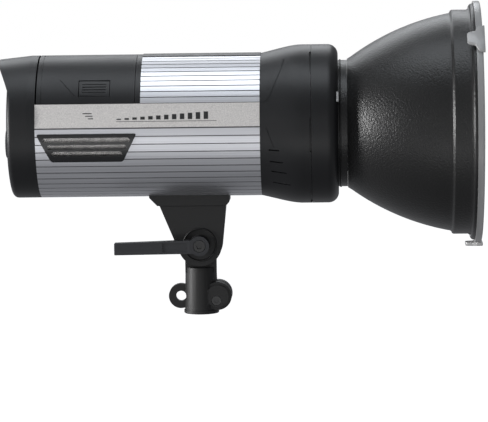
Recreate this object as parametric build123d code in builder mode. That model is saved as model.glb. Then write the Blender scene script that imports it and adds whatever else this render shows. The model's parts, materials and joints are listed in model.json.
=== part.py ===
"""Battery monolight: lamp head, tilt bracket, stand socket, reflector and diffuser plate.

Millimetres. The origin is the centre of the stand socket's mouth, +Z is up and +X is the way the
light goes. The lamp head is a cylinder along X whose axis is axis_z above the origin. Angles round
the head are measured from +Y towards +Z.
"""

import os
from math import cos, degrees, radians, sin, sqrt

from build123d import *

# ---------------------------------------------------------------- driving sizes: lamp head
body_r = 55.0  # outside of the ribbed shells
body_low_z = 91.5  # height of the shells' underside over the socket's mouth
axis_z = body_low_z + body_r  # so a wider shell grows upward, clear of the bracket
wall = 2.4  # shells, cap and housings
seat_gap = 0.05  # between pieces that are seated on each other
move_gap = 0.35  # between pieces that move past each other
shell_front_x = 48.6
shell_length = 170.6
strip_low = 2.0  # the flat side strip runs between these two angles
strip_high = 22.0
groove_width = 0.8
groove_depth = 0.45
lower_grooves = 28
upper_grooves = 10
rail_angle = 77.0  # the top rail covers from here to the same angle on the other side
rail_depth = 1.2
rail_proud = 0.5

# ---------------------------------------------------------------- driving sizes: battery
battery_length = 74.7
collar_length = 4.0
battery_gap = 1.1  # from the rear cap to the battery
case_half_width = 39.0
case_depth = 19.0  # how far the battery case reaches below its flange
flange_top = 19.2  # height of the battery's flange over the lamp axis
flange_thick = 1.6
case_wall = 1.6
case_end_gap = 2.6  # the case is shorter than the cover at each end
cell_r = 9.2
cell_length = 65.0
latch_angle = 35.75
latch_x = -77.0
latch_length = 24.0
latch_height = 14.6
latch_flange = 1.2

# ---------------------------------------------------------------- driving sizes: vents and fan
vent_top = -1.9  # below the lamp axis
vent_height = 21.8
vent_length = 76.6
vent_slope = 11.0  # how far each end leans in from top to bottom
vent_flange = 1.5
vent_proud = 0.6
slot_rows = ((-6.7, 3.6, 66.0), (-12.0, 3.4, 60.5), (-17.2, 3.6, 53.5))  # height, width, length
mesh_thick = 0.4
fan_size = 40.0
fan_thick = 10.0
fan_x = -82.0
fan_y = 23.0
fan_z = -24.0
fan_bore_r = 19.0
fan_hub_r = 11.0
fan_blades = 7

# ---------------------------------------------------------------- driving sizes: rear cap and panel
cap_length = 22.0
cap_edge = 4.0  # rounding of the rear edge
hood_reach = 9.0  # the visor stands this far behind the cap
hood_taper = 0.0525  # how much the cap narrows and its top sinks towards the visor
panel_r = 43.6
panel_thick = 3.0
panel_inset = 1.6
window_size = (44.0, 25.0)
window_centre = (0.0, 19.5)
dial_centre = (0.0, -13.0)
dial_r = 11.0
button_r = 4.4
button_travel = 1.0
button_places = {
    "power_button": (25.0, -7.0),
    "test_button": (-25.0, -7.0),
    "mode_button": (21.0, -21.0),
    "lamp_button": (-21.0, -21.0),
}
sync_place = (-9.0, -34.5)
sync_bore_r = 1.8
usb_place = (9.0, -34.5)
usb_size = (8.4, 3.2)
panel_screw_grid = (62.0, 46.0)
sensor_place = (0.0, 37.6)
sensor_r = 3.4

# ---------------------------------------------------------------- driving sizes: front and reflector
front_r = 61.2
flare_length = 32.0
housing_length = 38.7
bezel_length = 20.3
bezel_round = 8.0
seam_gap = 0.25
mouth_r = 49.6
neck_r = 48.8
neck_wall = 1.8
neck_length = 7.0  # free length between bezel and bowl
lug_reach = 3.0
lug_angle = 22.0
lug_thick = 2.9
twist = 30.0  # turn that frees the bayonet
bowl_length = 78.3
bowl_r = 83.8
bowl_wall = 1.2
band_r = 86.4
band_length = 12.5
rim_r = 91.0
rim_length = 6.2
plate_r = 93.0
plate_thick = 3.0
claw_angles = (-90.0, 48.0, 132.0)
claw_width = 17.0
claw_reach = 3.0
dome_r = 38.0
dome_wall = 2.0
dome_straight = 24.0
tube_ring_r = 25.0
tube_r = 4.5

# ---------------------------------------------------------------- driving sizes: bracket and socket
pivot_z = 54.5
socket_height = 36.0
socket_top_r = 12.15
socket_mouth_r = 13.0
socket_collar_r = 13.6
socket_collar_height = 2.6
bore_r = 8.05  # takes a 5/8 inch spigot
bore_depth = 34.0
tongue_r = 12.0
tongue_thick = 13.0
cheek_gap = 14.0
cheek_thick = 6.0
yoke_r = 17.0
yoke_rear_x = -30.9
yoke_front_x = 20.3
web_z = 79.0
shoe_low_z = 85.0
boss_r = 13.0
boss_proud = 1.2
eyelet_x = -15.7
eyelet_z = 13.4
eyelet_r = 9.6
eyelet_hole_r = 4.0
eyelet_thick = 6.0
ear_x = 13.0
ear_z = 14.0
ear_r = 10.9
ear_half = 10.4
ear_pad = 1.0
slit = 2.0
clamp_x = 12.0
clamp_z = 10.4
clamp_r = 2.5
clamp_head_r = 3.6
tilt_bolt_r = 3.5
bolt_clear = 0.06
lever_length = 65.8
lever_hub_r = 7.6
lever_tip_height = 9.2
lever_tip_drop = 1.8
lever_root_height = 10.4
lever_thick = 9.4
lever_pull = 4.0
screw_r = 2.0
screw_places = (-20.0, 11.0)

# ---------------------------------------------------------------- places worked out from the sizes
shell_rear_x = shell_front_x - shell_length
cap_front_x = shell_rear_x - seat_gap
cap_rear_x = cap_front_x - cap_length
battery_x0 = shell_rear_x + battery_gap
battery_x1 = battery_x0 + battery_length
collar_x0 = battery_x1 + move_gap
upper_x0 = collar_x0 + collar_length
inner_r = body_r - wall
housing_x0 = shell_front_x + seat_gap
housing_x1 = housing_x0 + housing_length
bezel_x0 = housing_x1 + seam_gap
bezel_x1 = bezel_x0 + bezel_length
bezel_front = 3.4
neck_x1 = bezel_x1 + neck_length
bowl_x1 = neck_x1 + bowl_length
band_x1 = bowl_x1 + 2.0 + band_length
rim_x1 = band_x1 + rim_length
panel_x0 = cap_rear_x + panel_inset
panel_x1 = panel_x0 + panel_thick
lamp_axis = Axis((0, 0, axis_z), (1, 0, 0))


def across(x):
    """Plane square to the lamp axis at station x. Its x runs to +Y and its y up."""
    return Plane(origin=(x, 0, axis_z), x_dir=(0, 1, 0), z_dir=(1, 0, 0))


def side(y, height=0.0):
    """Upright plane seen from -Y. Its x runs to +X, its y up, and it extrudes towards -Y."""
    return Plane(origin=(0, y, height), x_dir=(1, 0, 0), z_dir=(0, -1, 0))


def around(x, radius, angle):
    """Place at a station, radius and angle on the head. Its y points outwards."""
    turn = radians(angle)
    return Location((x, radius * cos(turn), axis_z + radius * sin(turn)), (angle, 0, 0))


def sector(r_out, r_in, start, stop):
    """Ring sector between two angles."""
    with BuildSketch() as piece:
        with BuildLine():
            outer = CenterArc((0, 0), r_out, start, stop - start)
            inner = CenterArc((0, 0), r_in, start, stop - start)
            Line(outer @ 0, inner @ 0)
            Line(outer @ 1, inner @ 1)
        make_face()
    return piece.sketch


def gap_angle(gap, radius=body_r):
    """Angle that a gap takes at a radius."""
    return degrees(gap / radius)


def both_sides(angle):
    """The same height on the left and on the right of the head."""
    return (angle, 180.0 - angle)


# ---------------------------------------------------------------- stand socket
with BuildPart() as stand_socket:
    with BuildSketch():
        Circle(socket_mouth_r)
    with BuildSketch(Plane.XY.offset(socket_height)):
        Circle(socket_top_r)
    loft()
    with BuildSketch():
        Circle(socket_collar_r)
    extrude(amount=socket_collar_height)
    with BuildSketch(side(0)):
        with Locations((0, pivot_z)):
            Circle(tongue_r)
        with Locations((0, (socket_height + pivot_z) / 2 - 2)):
            Rectangle(2 * tongue_r, pivot_z - socket_height + 4)
    extrude(amount=tongue_thick / 2, both=True)
    with BuildSketch(side(0)):
        with Locations((eyelet_x, eyelet_z)):
            Circle(eyelet_r)
        with Locations((eyelet_x / 2 - 2, eyelet_z)):
            Rectangle(-eyelet_x - 4, 2 * eyelet_r - 4)
    extrude(amount=eyelet_thick / 2, both=True)
    with BuildSketch(side(0)):
        with Locations((ear_x, ear_z)):
            Circle(ear_r)
    extrude(amount=ear_half, both=True)
    with BuildSketch(side(0)):
        with Locations((ear_x, ear_z)):
            Circle(ear_r - 2.2)
    extrude(amount=ear_half + ear_pad, both=True)
    with Locations((0, 0, bore_depth / 2)):
        Cylinder(bore_r, bore_depth, mode=Mode.SUBTRACT)
    slit_height = ear_z + ear_r + 4
    with Locations((ear_x + ear_r / 2, 0, slit_height / 2)):
        Box(ear_x + ear_r, slit, slit_height, mode=Mode.SUBTRACT)
    with BuildSketch(side(0)):
        with Locations((eyelet_x, eyelet_z)):
            Circle(eyelet_hole_r)
        with Locations((clamp_x, clamp_z)):
            Circle(clamp_r + bolt_clear)
        with Locations((0, pivot_z)):
            Circle(tilt_bolt_r + bolt_clear)
    extrude(amount=socket_mouth_r * 2, both=True, mode=Mode.SUBTRACT)
    with BuildSketch(side(-ear_half + 1.6)):
        with Locations((clamp_x, clamp_z)):
            Circle(clamp_head_r + 0.2)
    extrude(amount=ear_half, mode=Mode.SUBTRACT)
    chamfer(stand_socket.faces().sort_by(Axis.Z)[0].edges().filter_by(GeomType.CIRCLE), 0.5)

# ---------------------------------------------------------------- clamp bolt and knob
ear_face = ear_half + ear_pad
knob_start = ear_face + move_gap
knob_length = 16.0
knob_r = 8.6
knob_collar_r = 5.4

with BuildPart() as clamp_bolt:
    with BuildSketch(side(knob_start + knob_length - 4)):
        with Locations((clamp_x, clamp_z)):
            Circle(clamp_r)
    extrude(amount=knob_start + knob_length - 4 + ear_half - 1.6)
    with BuildSketch(side(-ear_half + 1.6)):
        with Locations((clamp_x, clamp_z)):
            Circle(clamp_head_r)
    extrude(amount=ear_pad + 1.2)
    with BuildSketch(side(-ear_face - 0.2 + 1.4)):
        with Locations((clamp_x, clamp_z)):
            RegularPolygon(1.9, 6)
    extrude(amount=2, mode=Mode.SUBTRACT)

with BuildPart() as clamp_knob:
    with BuildSketch(side(knob_start + knob_length)):
        with Locations((clamp_x, clamp_z)):
            Circle(knob_r)
            with PolarLocations(knob_r + 1.4, 8):
                Circle(2.6, mode=Mode.SUBTRACT)
    extrude(amount=knob_length - 5)
    with BuildSketch(side(knob_start + 5)):
        with Locations((clamp_x, clamp_z)):
            Circle(knob_collar_r)
    extrude(amount=5)
    with BuildSketch(side(knob_start + knob_length - 3.6)):
        with Locations((clamp_x, clamp_z)):
            Circle(clamp_r + bolt_clear)
    extrude(amount=knob_length, mode=Mode.SUBTRACT)

# ---------------------------------------------------------------- yoke, shoe and tilt hardware
yoke_half = cheek_gap / 2 + cheek_thick

with BuildPart() as bracket_yoke:
    with BuildSketch(side(0)) as cheek_outline:
        with Locations((0, pivot_z)):
            Circle(yoke_r)
        with BuildLine():
            Line((yoke_rear_x, shoe_low_z - seat_gap), (yoke_front_x, shoe_low_z - seat_gap))
        make_hull()
    extrude(amount=yoke_half, both=True)
    with Locations((0, 0, web_z / 2)):
        Box(8 * yoke_r, cheek_gap, web_z, mode=Mode.SUBTRACT)
    with BuildSketch(side(0)):
        with Locations((0, pivot_z)):
            Circle(boss_r)
            Circle(boss_r - 1.0, mode=Mode.SUBTRACT)
            Circle(lever_hub_r)
    extrude(amount=yoke_half + boss_proud, both=True)
    with Locations((0, 0, pivot_z)):
        Box(4 * yoke_r, cheek_gap, 2 * (web_z - pivot_z), mode=Mode.SUBTRACT)
    with BuildSketch(side(0)):
        with Locations((0, pivot_z)):
            Circle(tilt_bolt_r + bolt_clear)
    extrude(amount=2 * yoke_half, both=True, mode=Mode.SUBTRACT)
    with Locations(*[(x, 0, web_z + 2) for x in screw_places]):
        CounterBoreHole(screw_r + bolt_clear, screw_r + 1.8, 4, depth=30)

with BuildPart() as bracket_shoe:
    with BuildSketch(side(0)):
        Polygon(
            (-38.7, 97),
            (-38.7, 91.4),
            (yoke_rear_x - 1.6, shoe_low_z),
            (yoke_front_x + 0.6, shoe_low_z),
            (yoke_front_x + 2.9, shoe_low_z + 2.6),
            (yoke_front_x + 2.9, 97),
            align=None,
        )
    extrude(amount=yoke_half + 1.6, both=True)
    with BuildSketch(across(-60)):
        Circle(body_r + seat_gap)
    extrude(amount=120, mode=Mode.SUBTRACT)
    with Locations(*[(x, 0, shoe_low_z + 5) for x in screw_places]):
        Cylinder(screw_r + bolt_clear, 20, mode=Mode.SUBTRACT)

saddle_low = inner_r - seat_gap
saddle_top = 47.0
with BuildPart() as saddle_plate:
    with BuildSketch(across(screw_places[0] - 10)):
        Circle(saddle_low)
        with Locations((0, body_r - saddle_top)):
            Rectangle(3 * body_r, 2 * body_r, mode=Mode.SUBTRACT)
        with Locations((body_r + 12, 0), (-body_r - 12, 0)):
            Rectangle(2 * body_r, 3 * body_r, mode=Mode.SUBTRACT)
    extrude(amount=screw_places[1] - screw_places[0] + 20)
    with Locations(*[(x, 0, axis_z - saddle_top - 3) for x in screw_places]):
        Cylinder(screw_r + bolt_clear, 20, mode=Mode.SUBTRACT)

screw_head_z = web_z + 2 - 4
with BuildPart() as bracket_screws:
    with Locations(*[(x, 0, screw_head_z) for x in screw_places]):
        Cylinder(
            screw_r,
            axis_z - saddle_top - screw_head_z - 0.4,
            align=(Align.CENTER, Align.CENTER, Align.MIN),
        )
        Cylinder(screw_r + 1.6, 3.4, align=(Align.CENTER, Align.CENTER, Align.MIN))

lever_start = yoke_half + boss_proud + 1.0
lever_end = lever_start + lever_thick
bolt_head_length = 2.3
with BuildPart() as tilt_bolt:
    with BuildSketch(side(yoke_half + boss_proud + 4.5)):
        with Locations((0, pivot_z)):
            Circle(tilt_bolt_r)
    extrude(amount=yoke_half + boss_proud + 4.5 + lever_end - 0.5)
    with BuildSketch(side(-yoke_half - boss_proud - 0.1)):
        with Locations((0, pivot_z)):
            Circle(lever_hub_r - 1.0)
    extrude(amount=0.8)
    with BuildSketch(side(-lever_end + 0.5 + bolt_head_length)):
        with Locations((0, pivot_z)):
            Circle(tilt_bolt_r + 1.0)
    extrude(amount=bolt_head_length)
    with BuildSketch(side(-lever_end + 2.2)):
        with Locations((0, pivot_z)):
            RegularPolygon(2.5, 6)
    extrude(amount=3, mode=Mode.SUBTRACT)

with BuildPart() as tilt_lever:
    with BuildSketch(side(-lever_start)):
        with Locations((0, pivot_z)):
            Circle(lever_hub_r)
    extrude(amount=lever_thick)
    with BuildSketch(side(-lever_start - 1.4)):
        Polygon(
            (-lever_length, pivot_z - lever_tip_drop + lever_tip_height / 2),
            (-lever_length, pivot_z - lever_tip_drop - lever_tip_height / 2),
            (-lever_hub_r + 2.4, pivot_z - 0.6 - lever_root_height / 2),
            (-lever_hub_r + 2.4, pivot_z - 0.6 + lever_root_height / 2),
            align=None,
        )
    extrude(amount=lever_thick - 2.0)
    fillet(tilt_lever.faces().sort_by(Axis.X)[0].edges(), 0.8)
    with BuildSketch(side(-lever_end + 1.2)):
        with Locations((-19.0, pivot_z - 0.9)):
            Rectangle(19.0, lever_root_height - 3.4)
    extrude(amount=2, mode=Mode.SUBTRACT)
    with BuildSketch(side(0)):
        with Locations((0, pivot_z)):
            Circle(tilt_bolt_r + bolt_clear)
    extrude(amount=2 * lever_end, mode=Mode.SUBTRACT)
    head_floor = lever_end - 0.5 - bolt_head_length - lever_pull - move_gap
    with BuildSketch(side(-head_floor)):
        with Locations((0, pivot_z)):
            Circle(tilt_bolt_r + 1.3)
    extrude(amount=lever_end, mode=Mode.SUBTRACT)

with BuildPart() as tilt_nut:
    with BuildSketch(side(yoke_half + boss_proud + 5.2)):
        with Locations((0, pivot_z)):
            RegularPolygon(6.8, 6)
            Circle(tilt_bolt_r + bolt_clear, mode=Mode.SUBTRACT)
    extrude(amount=5.1)

with BuildPart() as friction_discs:
    for face_y in (cheek_gap / 2 - seat_gap, -tongue_thick / 2 - 2 * seat_gap):
        with BuildSketch(side(face_y)):
            with Locations((0, pivot_z)):
                Circle(tongue_r)
                Circle(tilt_bolt_r + 0.4, mode=Mode.SUBTRACT)
        extrude(amount=(cheek_gap - tongue_thick) / 2 - 3 * seat_gap)

# ---------------------------------------------------------------- ribbed shells and top rail
strip_mid = (strip_low + strip_high) / 2
strip_half = (strip_high - strip_low) / 2
flat_r = body_r * cos(radians(strip_half))
joint_angle = gap_angle(0.12)


def vent_outline(grow=0.0):
    """Side view of the vent: a trapezoid, longer at the top, grown or shrunk all round."""
    top = vent_top
    low = vent_top - vent_height
    x0 = shell_rear_x + 0.8
    x1 = x0 + vent_length
    with BuildSketch() as outline:
        Polygon((x0, top), (x1, top), (x1 - vent_slope, low), (x0 + vent_slope, low), align=None)
        fillet(outline.vertices().group_by(Axis.Y)[0], 3.0)
        fillet(outline.vertices().group_by(Axis.Y)[-1], 1.2)
        if grow:
            offset(amount=grow)
    return outline.sketch


def groove_profile(count, start, stop):
    """Narrow notches spread between two angles of the shell's outline."""
    with BuildSketch() as notches:
        with PolarLocations(body_r, count, start, stop - start, endpoint=True):
            Rectangle(2 * groove_depth, groove_width)
    return notches.sketch


with BuildPart() as lower_shell:
    with BuildSketch(across(shell_rear_x)):
        add(sector(body_r, inner_r, 180 - strip_high, 360 + strip_high))
        pitch = (180 + 2 * strip_low) / (lower_grooves + 1)
        add(groove_profile(lower_grooves, 180 - strip_low + pitch, 360 + strip_low - pitch), mode=Mode.SUBTRACT)
        for angle in both_sides(strip_mid):
            turn = radians(angle)
            middle = flat_r + 2
            with Locations(Location((middle * cos(turn), middle * sin(turn), 0), (0, 0, angle))):
                Rectangle(4, 3 * strip_half, mode=Mode.SUBTRACT)
        for angle in both_sides(strip_low):
            turn = radians(angle)
            with Locations(Location((body_r * cos(turn), body_r * sin(turn), 0), (0, 0, angle))):
                Rectangle(1.6, 0.6, mode=Mode.SUBTRACT)
    extrude(amount=shell_length)
    with BuildSketch(side(0, axis_z)):
        add(vent_outline(-vent_flange))
    extrude(amount=2 * body_r, both=True, mode=Mode.SUBTRACT)
    with Locations(*[(x, 0, axis_z - body_r) for x in screw_places]):
        Cylinder(screw_r + bolt_clear, 4 * wall, mode=Mode.SUBTRACT)

with BuildPart() as upper_shell:
    with BuildSketch(across(upper_x0 + seat_gap)):
        low_edge = strip_high + joint_angle
        add(sector(body_r, inner_r, low_edge, 180 - low_edge))
        add(sector(body_r + 1, body_r - rail_depth, rail_angle, 180 - rail_angle), mode=Mode.SUBTRACT)
        pitch = (rail_angle - strip_high) / (upper_grooves + 1)
        for start in (strip_high + pitch, 180 - rail_angle + pitch):
            add(groove_profile(upper_grooves, start, start + pitch * (upper_grooves - 1)), mode=Mode.SUBTRACT)
    extrude(amount=shell_front_x - upper_x0 - seat_gap)

with BuildPart() as top_rail:
    with BuildSketch(across(upper_x0 + seat_gap)):
        rail_edge = rail_angle + gap_angle(0.1)
        add(sector(body_r + rail_proud, body_r - rail_depth + seat_gap, rail_edge, 180 - rail_edge))
    extrude(amount=shell_front_x - upper_x0 - seat_gap)
    top_edges = top_rail.faces().sort_by(Axis.Z)[-1].edges().filter_by(Axis.X)
    fillet(top_edges, 0.4)

with BuildPart() as collar_band:
    with BuildSketch(across(collar_x0)):
        add(sector(body_r, inner_r, low_edge, 180 - low_edge))
    extrude(amount=collar_length)
    with BuildSketch(across(collar_x0 + collar_length / 2)):
        Circle(inner_r + 0.2)
        with Locations((0, body_r * sin(radians(low_edge)) - body_r)):
            Rectangle(3 * body_r, 2 * body_r, mode=Mode.SUBTRACT)
    extrude(amount=collar_length / 2)

# ---------------------------------------------------------------- side vents
def make_grille(kept):
    """Curved vent frame with three slots, plugged into the shell's window."""
    with BuildPart() as grille:
        with BuildSketch(side(0, axis_z)):
            add(vent_outline())
        extrude(amount=2 * body_r, both=True)
        with BuildSketch(across(shell_rear_x)):
            Circle(body_r + vent_proud)
            Circle(body_r + seat_gap, mode=Mode.SUBTRACT)
        extrude(amount=shell_length, mode=Mode.INTERSECT)
        with BuildPart(mode=Mode.PRIVATE) as plug:
            with BuildSketch(side(0, axis_z)):
                add(vent_outline(-vent_flange - 0.15))
            extrude(amount=2 * body_r, both=True)
            with BuildSketch(across(shell_rear_x)):
                Circle(body_r + vent_proud / 2)
                Circle(inner_r, mode=Mode.SUBTRACT)
            extrude(amount=shell_length, mode=Mode.INTERSECT)
        add(plug.part)
        middle = shell_rear_x + 0.8 + vent_length / 2
        with BuildSketch(side(0, axis_z)):
            for height, width, length in slot_rows:
                with Locations((middle, height)):
                    SlotOverall(length, width)
        extrude(amount=2 * body_r, both=True, mode=Mode.SUBTRACT)
        split(bisect_by=Plane.XZ, keep=kept)
    return grille


def make_mesh(kept):
    """Thin curved sheet behind the slots."""
    with BuildPart() as sheet:
        with BuildSketch(side(0, axis_z)):
            add(vent_outline(-vent_flange - 0.6))
        extrude(amount=2 * body_r, both=True)
        with BuildSketch(across(shell_rear_x)):
            Circle(inner_r - seat_gap)
            Circle(inner_r - seat_gap - mesh_thick, mode=Mode.SUBTRACT)
        extrude(amount=shell_length, mode=Mode.INTERSECT)
        split(bisect_by=Plane.XZ, keep=kept)
    return sheet


half_kept = {"left": Keep.BOTTOM, "right": Keep.TOP}
vent_grilles = {hand: make_grille(kept) for hand, kept in half_kept.items()}
vent_meshes = {hand: make_mesh(kept) for hand, kept in half_kept.items()}

# ---------------------------------------------------------------- fan
fan_plane = Plane(origin=(fan_x, fan_y + fan_thick / 2, axis_z + fan_z), x_dir=(1, 0, 0), z_dir=(0, -1, 0))

with BuildPart() as fan_frame:
    with BuildSketch(fan_plane):
        RectangleRounded(fan_size, fan_size, 2.5)
        Circle(fan_bore_r, mode=Mode.SUBTRACT)
        with GridLocations(fan_size - 8, fan_size - 8, 2, 2):
            Circle(1.7, mode=Mode.SUBTRACT)
    extrude(amount=fan_thick)
    with BuildSketch(fan_plane):
        Circle(fan_hub_r)
        with PolarLocations(fan_bore_r / 2 + 0.5, 3, 30):
            Rectangle(fan_bore_r + 1, 2.2)
        Circle(1.25, mode=Mode.SUBTRACT)
    extrude(amount=1.5)

with BuildPart() as fan_rotor:
    with BuildSketch(fan_plane.offset(1.5 + move_gap)):
        Circle(fan_hub_r - 0.5)
        with PolarLocations((fan_hub_r + fan_bore_r) / 2 - 1.8, fan_blades):
            Rectangle(fan_bore_r - fan_hub_r + 1.6, 1.4, rotation=32)
    extrude(amount=fan_thick - 2.6)
    with BuildSketch(fan_plane):
        Circle(1.19)
    extrude(amount=3)

# ---------------------------------------------------------------- rear cap with visor
cap_shelf = 2.0
hood_x0 = cap_rear_x - hood_reach
lean_x = cap_front_x - 6.0
hood_lean = (lean_x - hood_x0) * hood_taper

with BuildPart() as hood_block:
    with BuildSketch(across(hood_x0)):
        with Locations((0, -hood_lean)):
            Circle(body_r - hood_lean)
    with BuildSketch(across(lean_x)):
        Circle(body_r)
    loft()
    with BuildSketch(across(lean_x)):
        Circle(body_r)
    extrude(amount=cap_front_x - lean_x)

with BuildPart() as rear_cap:
    add(hood_block.part)
    with BuildSketch(across(hood_x0 - 1)):
        Rectangle(4 * body_r, 4 * body_r)
    extrude(amount=hood_reach + 1, mode=Mode.SUBTRACT)
    fillet(rear_cap.faces().sort_by(Axis.X)[0].edges(), cap_edge)
    with BuildPart(mode=Mode.PRIVATE) as visor:
        add(hood_block.part)
        with BuildSketch(across(hood_x0 - 1)):
            with Locations((0, -hood_lean)):
                Circle(body_r - hood_lean - wall)
        extrude(amount=2 * cap_length, mode=Mode.SUBTRACT)
        with BuildSketch(side(0, axis_z)):
            with BuildLine():
                edge = Spline(
                    (hood_x0, body_r - 5),
                    (cap_rear_x, 32),
                    (cap_rear_x + cap_edge + 1, 12),
                )
                Polyline(
                    edge @ 1,
                    (lean_x, 12),
                    (lean_x, body_r + 2),
                    (hood_x0 + 0.4, body_r + 2),
                    edge @ 0,
                )
            make_face()
        extrude(amount=2 * body_r, both=True, mode=Mode.INTERSECT)
    add(visor.part)
    with BuildSketch(side(0, axis_z)):
        Polygon(
            (hood_x0 - 2, 0),
            (hood_x0 - 2, panel_r + seat_gap),
            (panel_x1, panel_r + seat_gap),
            (panel_x1, panel_r - cap_shelf),
            (panel_x1 + cap_shelf, panel_r - cap_shelf),
            (panel_x1 + cap_shelf, inner_r),
            (cap_front_x + 2, inner_r),
            (cap_front_x + 2, 0),
            align=None,
        )
    revolve(axis=lamp_axis, mode=Mode.SUBTRACT)

# ---------------------------------------------------------------- control panel and what it carries
with BuildPart() as control_panel:
    with BuildSketch(across(panel_x0)):
        Circle(panel_r)
    extrude(amount=panel_thick)
    with BuildSketch(across(panel_x0)):
        with Locations(window_centre):
            RectangleRounded(window_size[0] + 0.3, window_size[1] + 0.3, 2.0)
    extrude(amount=1.3, mode=Mode.SUBTRACT)
    with BuildSketch(across(panel_x0)):
        with Locations(window_centre):
            Rectangle(window_size[0] - 4, window_size[1] - 4)
        with Locations(dial_centre):
            Circle(4.0)
        with Locations(*button_places.values()):
            Circle(button_r + move_gap)
        with Locations(sync_place):
            Circle(3.6)
        with Locations(usb_place):
            Rectangle(usb_size[0] + 2.2, usb_size[1] + 2.2)
        with Locations(sensor_place):
            Circle(sensor_r + 0.1)
        with GridLocations(*panel_screw_grid, 2, 2):
            Circle(1.4)
    extrude(amount=panel_thick, mode=Mode.SUBTRACT)

with BuildPart() as panel_screws:
    with BuildSketch(across(panel_x0 - 1.0)):
        with GridLocations(*panel_screw_grid, 2, 2):
            Circle(2.3)
    extrude(amount=0.95)
    with BuildSketch(across(panel_x0 - 0.1)):
        with GridLocations(*panel_screw_grid, 2, 2):
            Circle(1.3)
    extrude(amount=panel_thick + 0.4)
    with BuildSketch(across(panel_x0 - 1.0)):
        with GridLocations(*panel_screw_grid, 2, 2):
            Rectangle(3.2, 0.6)
            Rectangle(0.6, 3.2)
    extrude(amount=0.6, mode=Mode.SUBTRACT)

board_x = panel_x1 + 4.2
with BuildPart() as panel_board:
    with BuildSketch(across(board_x)):
        Circle(panel_r - cap_shelf - 1)
    extrude(amount=1.6)

with BuildPart() as lcd_module:
    with BuildSketch(across(panel_x1 + 0.1)):
        with Locations(window_centre):
            Rectangle(window_size[0] + 1, window_size[1] + 1)
    extrude(amount=3.6)

with BuildPart() as lcd_window:
    with BuildSketch(across(panel_x0)):
        with Locations(window_centre):
            RectangleRounded(window_size[0], window_size[1], 1.9)
    extrude(amount=1.2)

dial_height = 6.8
with BuildPart() as control_dial:
    with BuildSketch(across(panel_x0 - move_gap)):
        with Locations(dial_centre):
            Circle(dial_r)
            with PolarLocations(dial_r + 0.3, 30):
                Circle(0.7, mode=Mode.SUBTRACT)
    extrude(amount=-dial_height)
    fillet(control_dial.faces().sort_by(Axis.X)[0].outer_wire().edges(), 0.3)
    with BuildSketch(across(panel_x0 - move_gap)):
        with Locations(dial_centre):
            Circle(3.0)
    extrude(amount=panel_thick + 3.0)
    with BuildSketch(across(panel_x0 - move_gap - dial_height)):
        with Locations(dial_centre):
            Circle(dial_r - 2.6)
    extrude(amount=0.8, mode=Mode.SUBTRACT)
    with BuildSketch(across(panel_x0 - move_gap - dial_height)):
        with Locations((dial_centre[0], dial_centre[1] + dial_r - 1.6)):
            Rectangle(1.2, 2.4)
    extrude(amount=0.5, mode=Mode.SUBTRACT)


def make_button(place):
    """Round push button with a flange behind the panel."""
    with BuildPart() as button:
        with BuildSketch(across(panel_x0 - button_travel - 0.9)):
            with Locations(place):
                Circle(button_r)
        extrude(amount=panel_thick + button_travel + 1.0 + move_gap)
        fillet(button.faces().sort_by(Axis.X)[0].edges(), 0.6)
        with BuildSketch(across(panel_x1 + move_gap)):
            with Locations(place):
                Circle(button_r + 1.0)
        extrude(amount=1.0)
    return button


buttons = {name: make_button(place) for name, place in button_places.items()}

with BuildPart() as sync_socket:
    with BuildSketch(across(panel_x0 - 0.6)):
        with Locations(sync_place):
            Circle(4.4)
            Circle(sync_bore_r, mode=Mode.SUBTRACT)
    extrude(amount=0.55)
    with BuildSketch(across(panel_x0 - 0.1)):
        with Locations(sync_place):
            Circle(3.5)
            Circle(sync_bore_r, mode=Mode.SUBTRACT)
    extrude(amount=panel_thick + 3.4)

with BuildPart() as usb_socket:
    with BuildSketch(across(panel_x0 + 0.2)):
        with Locations(usb_place):
            Rectangle(usb_size[0] + 2, usb_size[1] + 2)
    extrude(amount=panel_thick + 3)
    with BuildSketch(across(panel_x0 + 0.2)):
        with Locations(usb_place):
            Rectangle(*usb_size)
            Rectangle(usb_size[0] - 1.6, 0.9, mode=Mode.SUBTRACT)
    extrude(amount=panel_thick + 1, mode=Mode.SUBTRACT)

with BuildPart() as slave_sensor:
    with BuildSketch(across(panel_x0 - 1.0)):
        with Locations(sensor_place):
            Circle(sensor_r)
    extrude(amount=panel_thick + 3.0)
    fillet(slave_sensor.faces().sort_by(Axis.X)[0].edges(), 0.9)

# ---------------------------------------------------------------- battery pack and its bay
cover_low = strip_high + gap_angle(move_gap)
case_x0 = battery_x0 + case_end_gap
case_x1 = battery_x1 - case_end_gap
case_floor = flange_top - case_depth


def latch_block(length, height, depth_from, depth_to, angle):
    """Block that stands square to the cover at the latch's angle."""
    with BuildPart() as block:
        with Locations(around(latch_x, (depth_from + depth_to) / 2, angle)):
            Box(length, depth_to - depth_from, height)
    return block.part


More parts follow.
